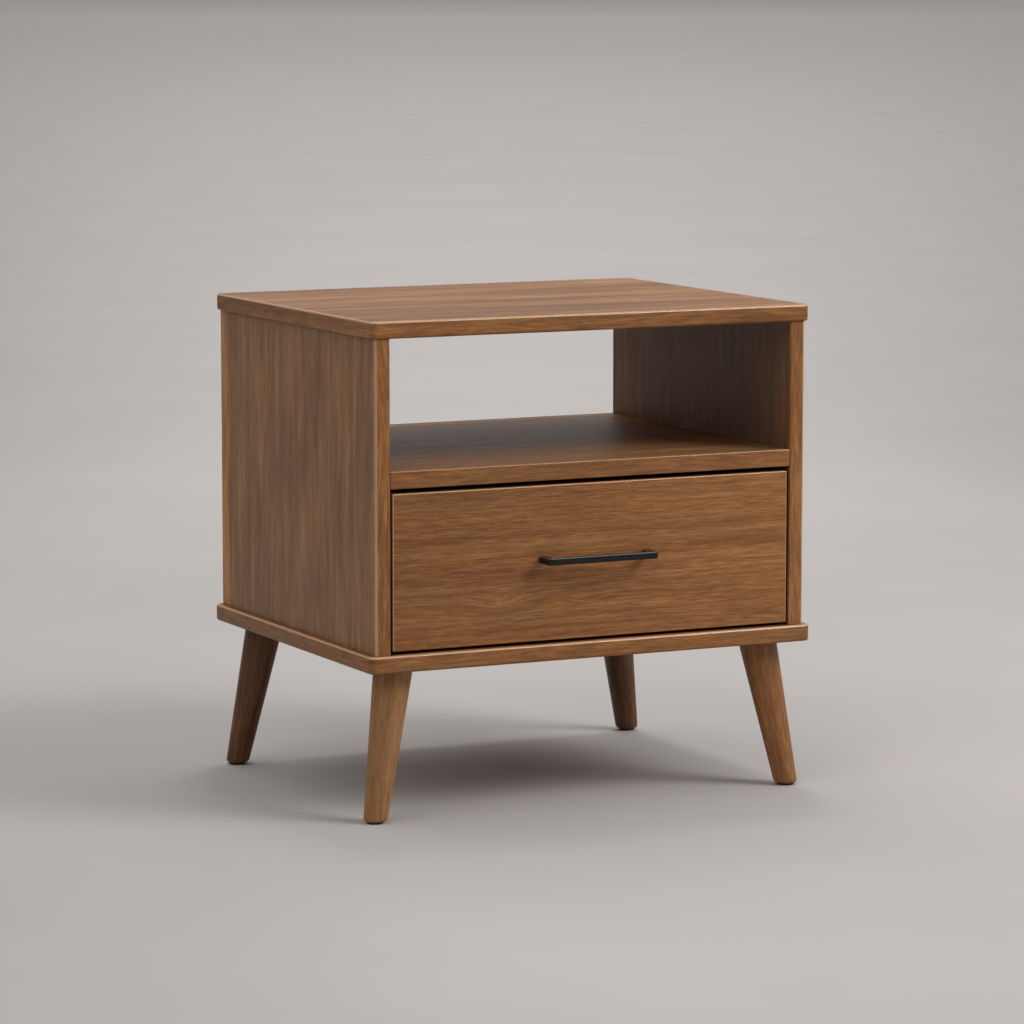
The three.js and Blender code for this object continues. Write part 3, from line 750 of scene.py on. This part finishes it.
def flat_head(length, radius=5 * MM, shank=3.5 * MM, point=4 * MM, tip=1 * MM):
    """The profile of a countersunk connecting screw, from its face at height 0 down to its tip."""
    face = [(0, 0), (radius - 0.2 * MM, 0), (radius, -0.3 * MM)]
    cone = [(radius, -1 * MM), (shank, -4 * MM)]
    return [*face, *cone, (shank, point - length), (tip, -length), (0, -length)]


def countersink(node):
    """A cutter for the hole that takes a screw's head in the underside of the base."""
    lo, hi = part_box(node)
    centre = (lo + hi) / 2
    radius = (hi.x - lo.x) / 2 + 0.3 * MM
    rim = radius + 0.4 * MM
    mouth = [(0, -1 * MM), (rim, -1 * MM), (rim, 0), (radius, 0.5 * MM)]
    steps = [*mouth, (radius, 1.3 * MM), (4 * MM, 4.5 * MM), (0, 4.5 * MM)]
    return rings([(Vector((centre.x, centre.y, lo.z + z)), r) for r, z in steps], SCREW_TURNS)


def foot_pad(where):
    """A round plastic glide under a foot."""
    node = f"foot_pad_{where}"
    lo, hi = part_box(node)
    centre = (lo + hi) / 2
    radius = (hi.x - lo.x) / 2
    steps = [(0, lo.z), (radius - PAD_EDGE, lo.z)]
    steps += [
        (radius - PAD_EDGE * (1 - math.sin(a)), lo.z + PAD_EDGE * (1 - math.cos(a)))
        for a in (math.radians(30 * i) for i in range(1, 4))
    ]
    steps += [(radius, hi.z), (0, hi.z)]
    bm = rings([(Vector((centre.x, centre.y, z)), r) for r, z in steps], SCREW_TURNS)
    make(node + "_glide", bm, [bpy.data.materials["foot_plastic"]], "cabinet", [node])


def hardware():
    """Every screw and foot pad."""
    right, forward, up = Vector((1, 0, 0)), Vector((0, -1, 0)), Vector((0, 0, 1))
    for hand, sign in HANDS.items():
        for place in ("front", "rear"):
            screw(f"cabinet_screw_{place}_{hand}", right * sign, pan_head, SMALL_RECESS, "cabinet")
            screw(f"drawer_screw_{place}_{hand}", -right * sign, pan_head, SMALL_RECESS, "drawer")
        for kind in ("handle", "front"):
            screw(f"{kind}_screw_{hand}", forward, pan_head, SMALL_RECESS, "drawer")
    for where in CORNERS:
        screw(f"base_screw_{where}", up, flat_head, LARGE_RECESS, "cabinet")
        foot_pad(where)


# ------------------------------------------------------------------ slides


def rounded_outline(corners):
    """A closed outline with each (x, z, radius) corner turned into an arc."""
    points = []
    for i, (x, z, radius) in enumerate(corners):
        here = Vector((x, z))
        before = (Vector(corners[i - 1][:2]) - here).normalized()
        after = (Vector(corners[(i + 1) % len(corners)][:2]) - here).normalized()
        half = before.angle(after) / 2
        centre = here + (before + after).normalized() * radius / math.sin(half)
        start = here + before * radius / math.tan(half) - centre
        end = here + after * radius / math.tan(half) - centre
        shares = [k / BEND_STEPS for k in range(BEND_STEPS + 1)]
        points += [centre + start.slerp(end, share).normalized() * radius for share in shares]
    return points


def drawn(points, lo, hi, axis):
    """An outline drawn along Y, as (x, z), or along X, as (y, z)."""
    bm = bmesh.new()
    ends = []
    for reach in (lo, hi):
        places = [(p[0], reach, p[1]) if axis == Y else (reach, p[0], p[1]) for p in points]
        ends.append([bm.verts.new(c) for c in places])
    for i in range(len(points)):
        j = (i + 1) % len(points)
        bm.faces.new((ends[0][i], ends[0][j], ends[1][j], ends[1][i]))
    bm.faces.new(ends[0])
    bm.faces.new(ends[1])
    bmesh.ops.recalc_face_normals(bm, faces=bm.faces)
    return bm


def channel(node, web_first, lip):
    """A bent channel along Y in a node's box. web_first puts its web on the box's low X side."""
    lo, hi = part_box(node)
    web, rim = (lo.x, hi.x) if web_first else (hi.x, lo.x)
    inward = SLIDE_METAL if web < rim else -SLIDE_METAL
    half = (hi.z - lo.z) / 2
    mid = (hi.z + lo.z) / 2
    inner = half - SLIDE_METAL
    end = 0.3 * SLIDE_METAL
    upper = [(web, half, SLIDE_BEND), (rim, half, SLIDE_BEND * 0.7 if lip else end)]
    if lip:
        upper += [(rim, inner - lip, end), (rim - inward, inner - lip, end)]
        upper += [(rim - inward, inner, 0.35 * SLIDE_METAL)]
    else:
        upper += [(rim, inner, end)]
    upper += [(web + inward, inner, SLIDE_BEND * 0.5)]
    lower = [(x, -z, r) for x, z, r in reversed(upper)]
    outline = [Vector((p.x, p.y + mid)) for p in rounded_outline(upper + lower)]
    return drawn(outline, lo.y, hi.y, Y)


def slot(y, z, length, height, x):
    """A cutter for a slot with round ends through a web at x."""
    turns = [math.radians(-90 + 18 * i) for i in range(11)]
    reach = (length - height) / 2
    right = [(y + reach + height / 2 * math.cos(a), z + height / 2 * math.sin(a)) for a in turns]
    left = [(2 * y - u, 2 * z - v) for u, v in right]
    return drawn(right + left, x - SLOT_REACH, x + SLOT_REACH, X)


def slide_member(kind, hand, sign, body):
    """One channel of a slide, with its punched slots."""
    node = f"slide_{kind}_{hand}"
    lo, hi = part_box(node)
    web_outside = kind != "inner"
    web_first = (sign < 0) == web_outside
    bm = channel(node, web_first, RIM_LIP if kind == "outer" else 0.0)
    web = lo.x if web_first else hi.x
    for sizes in SLOTS[kind]:
        along, length, height = (size * MM for size in sizes)
        bm = subtract(bm, slot(lo.y + along, (lo.z + hi.z) / 2, length, height, web))
    make(node + "_rolled", bm, [bpy.data.materials["zinc"]], body, [node])


def slide_cage(kind, hand, sign):
    """The bent strip that holds the balls between two channels, with windows, and its two rows of balls."""
    node = f"slide_{kind}_cage_{hand}"
    lo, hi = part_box(node)
    mid = (lo.z + hi.z) / 2
    row = (hi.z - lo.z) / 2 - BALL
    web_first = sign < 0
    web, rim = (lo.x, hi.x) if web_first else (hi.x, lo.x)
    inward = CAGE_METAL if web < rim else -CAGE_METAL
    half = row + CAGE_METAL / 2
    upper = [(web, half, CAGE_BEND), (rim, half, CAGE_CORNER), (rim, half - CAGE_METAL, CAGE_CORNER)]
    upper += [(web + inward, half - CAGE_METAL, CAGE_BEND - CAGE_METAL)]
    lower = [(x, -z, r) for x, z, r in reversed(upper)]
    outline = [Vector((p.x, p.y + mid)) for p in rounded_outline(upper + lower)]
    bm = drawn(outline, lo.y, hi.y, Y)
    pitch = (hi.y - lo.y) / CAGE_BALLS
    for i in range(CAGE_BALLS - 1):
        window = slot(lo.y + (i + 1) * pitch, mid, WINDOW_LENGTH * pitch, WINDOW_HEIGHT * pitch, web)
        bm = subtract(bm, window)
    ball_x = rim - math.copysign(BALL_FROM_RIM[kind], inward)
    for i in range(CAGE_BALLS):
        for z in (mid - row, mid + row):
            ball = bmesh.new()
            bmesh.ops.create_icosphere(ball, subdivisions=3, radius=BALL)
            bmesh.ops.translate(ball, verts=ball.verts, vec=(ball_x, lo.y + (i + 0.5) * pitch, z))
            add_mesh(bm, ball, 1)
    looks = [bpy.data.materials["zinc"], bpy.data.materials["bearing_steel"]]
    make(node + "_balls", bm, looks, f"{kind}_cage_{hand}", [node])


def slides():
    """Both slides, each of three channels and two ball cages."""
    for hand, sign in HANDS.items():
        bodies = {"outer": "cabinet", "middle": f"slide_middle_{hand}", "inner": "drawer"}
        for kind, body in bodies.items():
            slide_member(kind, hand, sign, body)
        for kind in ("outer", "inner"):
            slide_cage(kind, hand, sign)


# ------------------------------------------------------------------ drawer


def drawer_front(material):
    """The drawer's veneered front."""
    node = "drawer_front"
    lo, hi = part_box(node)
    bm = box_mesh(lo, hi)
    ease(bm, FINE_ARRIS)

    def front_arris_wear_and_highlight(normal):
        """The paler line round the front's top and sides: partly rubbed wear, partly a painted highlight."""
        return 1.6 if -0.97 < normal.y < -0.2 and normal.z > -0.2 else 0.0

    rule = grain_rule(X, Y, lo)
    make(node + "_veneered", bm, [material], "drawer", [node], rule, front_arris_wear_and_highlight)


FLAT = 0.95  # a face whose normal reaches this far along the thickness is veneer, not plies


def ply_board(node, grain_axis, thickness_axis, face, edge):
    """A plywood board: face veneer both sides, plies showing round the edges."""
    lo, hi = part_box(node)
    bm = box_mesh(lo, hi)
    ease(bm, (min(PLY_ARRIS, (hi - lo)[thickness_axis] / 6), PLY_ARRIS_STEPS))
    for f in bm.faces:
        f.normal_update()
        f.material_index = 0 if abs(f.normal[thickness_axis]) > FLAT else 1
    across_axis = 3 - grain_axis - thickness_axis

    def rule(point, normal):
        if abs(normal[thickness_axis]) > FLAT:
            return point[grain_axis], point[across_axis], 0.0
        along = across_axis if abs(normal[grain_axis]) > abs(normal[across_axis]) else grain_axis
        return point[along], point[thickness_axis] - lo[thickness_axis], 0.0

    make(node + "_ply", bm, [face, edge], "drawer", [node], rule)


def handle(material):
    """A square bar with a post at each end, its ends rounded and all its arrises eased."""
    node = "drawer_handle"
    lo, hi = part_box(node)
    bar = hi.z - lo.z
    outside = [(lo.x, hi.y), (lo.x, lo.y), (hi.x, lo.y), (hi.x, hi.y)]
    inside = [(hi.x - bar, hi.y), (hi.x - bar, lo.y + bar), (lo.x + bar, lo.y + bar), (lo.x + bar, hi.y)]
    bm = bmesh.new()
    below = [bm.verts.new((x, y, lo.z)) for x, y in outside + inside]
    face = bm.faces.new(below)
    raised = bmesh.ops.extrude_face_region(bm, geom=[face])["geom"]
    for v in (g for g in raised if isinstance(g, bmesh.types.BMVert)):
        v.co.z = hi.z
    bmesh.ops.recalc_face_normals(bm, faces=bm.faces)

    def upright_at(y):
        return lambda edge: runs_along(edge, Z) and abs(middle(edge).y - y) < MM / 10

    ease(bm, HANDLE_END, upright_at(lo.y))
    ease(bm, HANDLE_BEND, upright_at(lo.y + bar))
    ease(bm, HANDLE_ARRIS, is_square)
    make(node + "_bar", bm, [material], "drawer", [node], lambda point, normal: point)


# ------------------------------------------------------------------ stage, light, camera

# An azimuth of 0 stands in front of the cabinet, and 90 to its right. Angles are in degrees.
FLOOR_RADIUS = 120.0
FLOOR_TURNS = 96
FLOOR_DARK = (172, 168, 165)
FLOOR_LIGHT = (176, 171, 168)
FLOOR_PAINTED_SHADE = (6.0, 45.0)  # metres from the cabinet between which painted shade darkens the paper
FLOOR_PAINTED_SHADE_DEPTH = 0.15

WORLD_HORIZON = (0.213, 0.210, 0.207)
WORLD_ZENITH = (0.390, 0.388, 0.386)
LIGHT_TARGET = Vector((0.0, 0.0, 0.3))
LIGHT_DISTANCE = 3.2
# azimuth, elevation, width of the sun in the sky, power
SUNS = [(180, 75, 50, 0.72), (45, 38, 25, 0.33), (-60, 45, 40, 0.59), (160, 35, 40, 0.13)]
SOFTBOX = {"azimuth": 45, "elevation": 38, "power": 52.0, "size": 1.4}
FLOOR_SPOTS = [((0.6, 1.2, 5.0), 50, 230.0), ((-0.36, -0.88, 2.5), 19, 75.0)]  # place, cone, power
SPOT_RADIUS = 0.4

POOLS = 19
POOL_START = 7.8  # metres from the camera
POOL_STEP = 1.12  # each pool lies this many times farther away than the last
POOL_HEIGHT = 0.45  # of its distance
POOL_CONE = 46
POOL_POWER = 8.4  # over the height squared
POOL_EVEN = 12.0  # metres up to which the pools are equally bright
POOL_FALL = 0.45

LENS = 155.2
SENSOR = 36.0
CLIP_END = 500.0
CAMERA_TURN = 26.07
CAMERA_DIP = 7.37
CAMERA_PLACE = Vector((-2.202, -4.501, 0.954))


def floor():
    """Pale paper, slightly mottled, with painted shade that darkens it a little with its distance."""
    g = Graph("floor_paper")
    mottle = g.noise(own_place(g, 3.0), 4.0)
    tint = g.ramp(mottle, [(0.3, FLOOR_DARK), (0.7, FLOOR_LIGHT)])
    distance = g.node("VectorMath", {0: g.node("TexCoord").outputs["Object"]}, operation="LENGTH").outputs[1]
    # Painted shade: the paper darkens with its distance from the cabinet.
    tint = g.mix(g.times(g.between(distance, *FLOOR_PAINTED_SHADE), FLOOR_PAINTED_SHADE_DEPTH), tint, (0.0, 0.0, 0.0, 1.0))
    paper = g.finish(Base_Color=tint, Roughness=0.9, Specular_IOR_Level=0.15)
    bm = bmesh.new()
    bmesh.ops.create_circle(bm, cap_ends=True, cap_tris=False, segments=FLOOR_TURNS, radius=FLOOR_RADIUS)
    mesh = bpy.data.meshes.new("floor")
    bm.to_mesh(mesh)
    bm.free()
    mesh.materials.append(paper)
    obj = bpy.data.objects.new("floor", mesh)
    bpy.context.scene.collection.objects.link(obj)


def lamp(kind, azimuth, elevation, power, **settings):
    """A light that faces the cabinet."""
    data = bpy.data.lights.new(f"{kind.lower()}_{azimuth}_{elevation}", kind)
    data.energy = power
    for key, value in settings.items():
        setattr(data, key, value)
    obj = bpy.data.objects.new(data.name, data)
    a, e = math.radians(azimuth), math.radians(elevation)
    way = Vector((math.sin(a) * math.cos(e), -math.cos(a) * math.cos(e), math.sin(e)))
    obj.location = LIGHT_TARGET + way * LIGHT_DISTANCE
    obj.rotation_mode = "QUATERNION"
    obj.rotation_quaternion = (-way).to_track_quat("-Z", "Y")
    bpy.context.scene.collection.objects.link(obj)


def floor_spot(place, cone, power):
    """A soft spot that hangs over the floor and brightens it."""
    data = bpy.data.lights.new(f"spot_{cone}", "SPOT")
    data.spot_size = math.radians(cone)
    data.spot_blend = 1.0
    data.shadow_soft_size = SPOT_RADIUS
    data.energy = power
    obj = bpy.data.objects.new(data.name, data)
    obj.location = place
    bpy.context.scene.collection.objects.link(obj)


def studio():
    """A plain studio: soft suns, a softbox near the cabinet, and pools of light on the floor behind it.

    The pools behind it stand in a row that runs away from the camera, and grow with their distance.
    """
    world = bpy.data.worlds.new("studio")
    world.use_nodes = True
    tree = world.node_tree
    sky = tree.nodes.new("ShaderNodeTexCoord")
    parts = tree.nodes.new("ShaderNodeSeparateXYZ")
    ramp = tree.nodes.new("ShaderNodeValToRGB")
    tree.links.new(sky.outputs["Generated"], parts.inputs[0])
    tree.links.new(parts.outputs[2], ramp.inputs[0])
    tree.links.new(ramp.outputs[0], tree.nodes["Background"].inputs["Color"])
    horizon, zenith = ramp.color_ramp.elements
    horizon.position, horizon.color = 0.0, (*WORLD_HORIZON, 1.0)
    zenith.position, zenith.color = 0.5, (*WORLD_ZENITH, 1.0)
    bpy.context.scene.world = world
    for azimuth, elevation, angle, power in SUNS:
        lamp("SUN", azimuth, elevation, power, angle=math.radians(angle))
    lamp("AREA", **SOFTBOX)
    for where in FLOOR_SPOTS:
        floor_spot(*where)
    turn = math.radians(CAMERA_TURN)
    for i in range(POOLS):
        far = POOL_START * POOL_STEP**i
        height = POOL_HEIGHT * far
        strength = POOL_POWER * min(1.0, POOL_EVEN / far) ** POOL_FALL
        place = (CAMERA_PLACE.x + far * math.sin(turn), CAMERA_PLACE.y + far * math.cos(turn), height)
        floor_spot(place, POOL_CONE, strength * height**2)


def camera():
    """The viewing angle: from the front left, a little above, through a long lens."""
    data = bpy.data.cameras.new("camera")
    data.sensor_width = SENSOR
    data.lens = LENS
    data.clip_end = CLIP_END
    obj = bpy.data.objects.new("camera", data)
    obj.location = CAMERA_PLACE
    obj.rotation_euler = (math.radians(90 - CAMERA_DIP), 0.0, math.radians(-CAMERA_TURN))
    bpy.context.scene.collection.objects.link(obj)
    bpy.context.scene.camera = obj


# ------------------------------------------------------------------ the whole

# The right side is painted darker, as painted shade on its inner face in the open bay; the left side is
# lifted a little.
SIDE_TONE_AND_SHADE = {"left": 0.11, "right": -0.25}
SIDE_CONTRAST = {"left": 1.8, "right": 1.2}
# Painted light and shade on the legs: the rear legs are painted darker for the shade under the cabinet, the
# front left leg lighter for the light on it. The grey bands are the wood's, made stronger on the front legs
# as a painted grey sheen.
LEG_LIGHT_AND_SHADE = {"front_left": 0.22, "front_right": 0.0, "rear_left": -0.36, "rear_right": -0.40}
LEG_ASH_AND_SHEEN = {"front_left": 0.4, "front_right": 0.3, "rear_left": 0.15, "rear_right": 0.1}
# An eye of the grain is (along, across, length, width, lift).
DRAWER_EYES = [(-0.118, 0.233, 0.040, 0.011, 0.010), (-0.012, 0.232, 0.022, 0.008, 0.005)]


def dress_cad_nodes(looks):
    """Gives each CAD node that still shows the material of its slot."""
    slots = {row["node"]: row["material_slot"] for row in frame["record"]["subparts"]}
    for node, obj in frame["nodes"].items():
        obj.data.materials.clear()
        obj.data.materials.append(looks[slots[node]])


def main():
    camera()
    studio()
    floor()
    bpy.context.scene.view_settings.view_transform = "Standard"

    looks = {
        "walnut_veneer": walnut("walnut_plain", seed=1),
        "walnut_solid": walnut("walnut_solid", seed=2),
        "birch_plywood": birch_face("birch_plain", seed=5),
        "beech_dowel": birch_face("beech", seed=9),
        "black_metal": black_coat("black_coat"),
        "zinc_steel": plated("zinc", (128, 130, 134), (196, 198, 200), roughness=0.36),
        "bearing_steel": plated("bearing_steel", (170, 172, 176), (220, 221, 222), roughness=0.22),
        "brass_insert": plated("brass", (140, 104, 46), (200, 160, 88), roughness=0.34),
        "foot_pad": dull_plastic("foot_plastic", (22, 20, 18), (48, 44, 40)),
    }
    dress_cad_nodes(looks)

    slab("top_panel", walnut("walnut_top", seed=18, tone=0.03, contrast=1.2, broad=3.2, ashy=0.15))
    countersinks = [countersink(f"base_screw_{where}") for where in CORNERS]
    slab("base_panel", walnut("walnut_base", seed=12, contrast=1.2), countersinks)
    rear_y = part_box("left_side_panel")[1][Y]
    pale = [rear_y - before for before in PALE_EDGE]
    look = {"broad": 2.4, "ashy": 0.55, "even": 0.6, "pale": pale, "reach": 0.45, "spread": 1.7}
    for hand, sign in HANDS.items():
        tone, contrast = SIDE_TONE_AND_SHADE[hand], SIDE_CONTRAST[hand]
        face = walnut(f"walnut_side_{hand}", seed=20 + sign, tone=tone, contrast=contrast, **look)
        lipping = walnut(f"walnut_lipping_{hand}", seed=30 + sign, contrast=1.3, ashy=0.1)
        side(hand, sign, face, lipping)
    shelf_face = walnut("walnut_shelf", seed=13, tone=0.08, ashy=0.75)
    shelf(shelf_face, walnut("walnut_shelf_edge", seed=16, contrast=1.2, ashy=0.15))
    back(walnut("walnut_back", seed=14))
    for i, where in enumerate(CORNERS):
        tone, ashy = LEG_LIGHT_AND_SHADE[where], LEG_ASH_AND_SHEEN[where]
        leg(where, walnut(f"walnut_leg_{where}", seed=40 + i, contrast=1.3, ashy=ashy, tone=tone))

    look = {"tone": 0.02, "contrast": 1.3, "broad": 1.4, "ashy": 0.2, "drift": 0.3}
    look |= {"reach": 1.6, "spread": 0.75, "wavy": 0.3}
    drawer_front(walnut("walnut_drawer", seed=15, eyes=DRAWER_EYES, **look))
    edge = birch_edge("birch_edge", PLY)
    ply_board("drawer_left_side", Y, X, birch_face("birch_left", seed=1.0), edge)
    ply_board("drawer_right_side", Y, X, birch_face("birch_right", seed=2.0), edge)
    ply_board("drawer_box_front", X, Y, birch_face("birch_front", seed=3.0), edge)
    ply_board("drawer_back", X, Y, birch_face("birch_back", seed=4.0), edge)
    ply_board("drawer_bottom", X, Z, birch_face("birch_bottom", seed=6.0), edge)
    handle(looks["black_metal"])
    hardware()
    slides()


main()
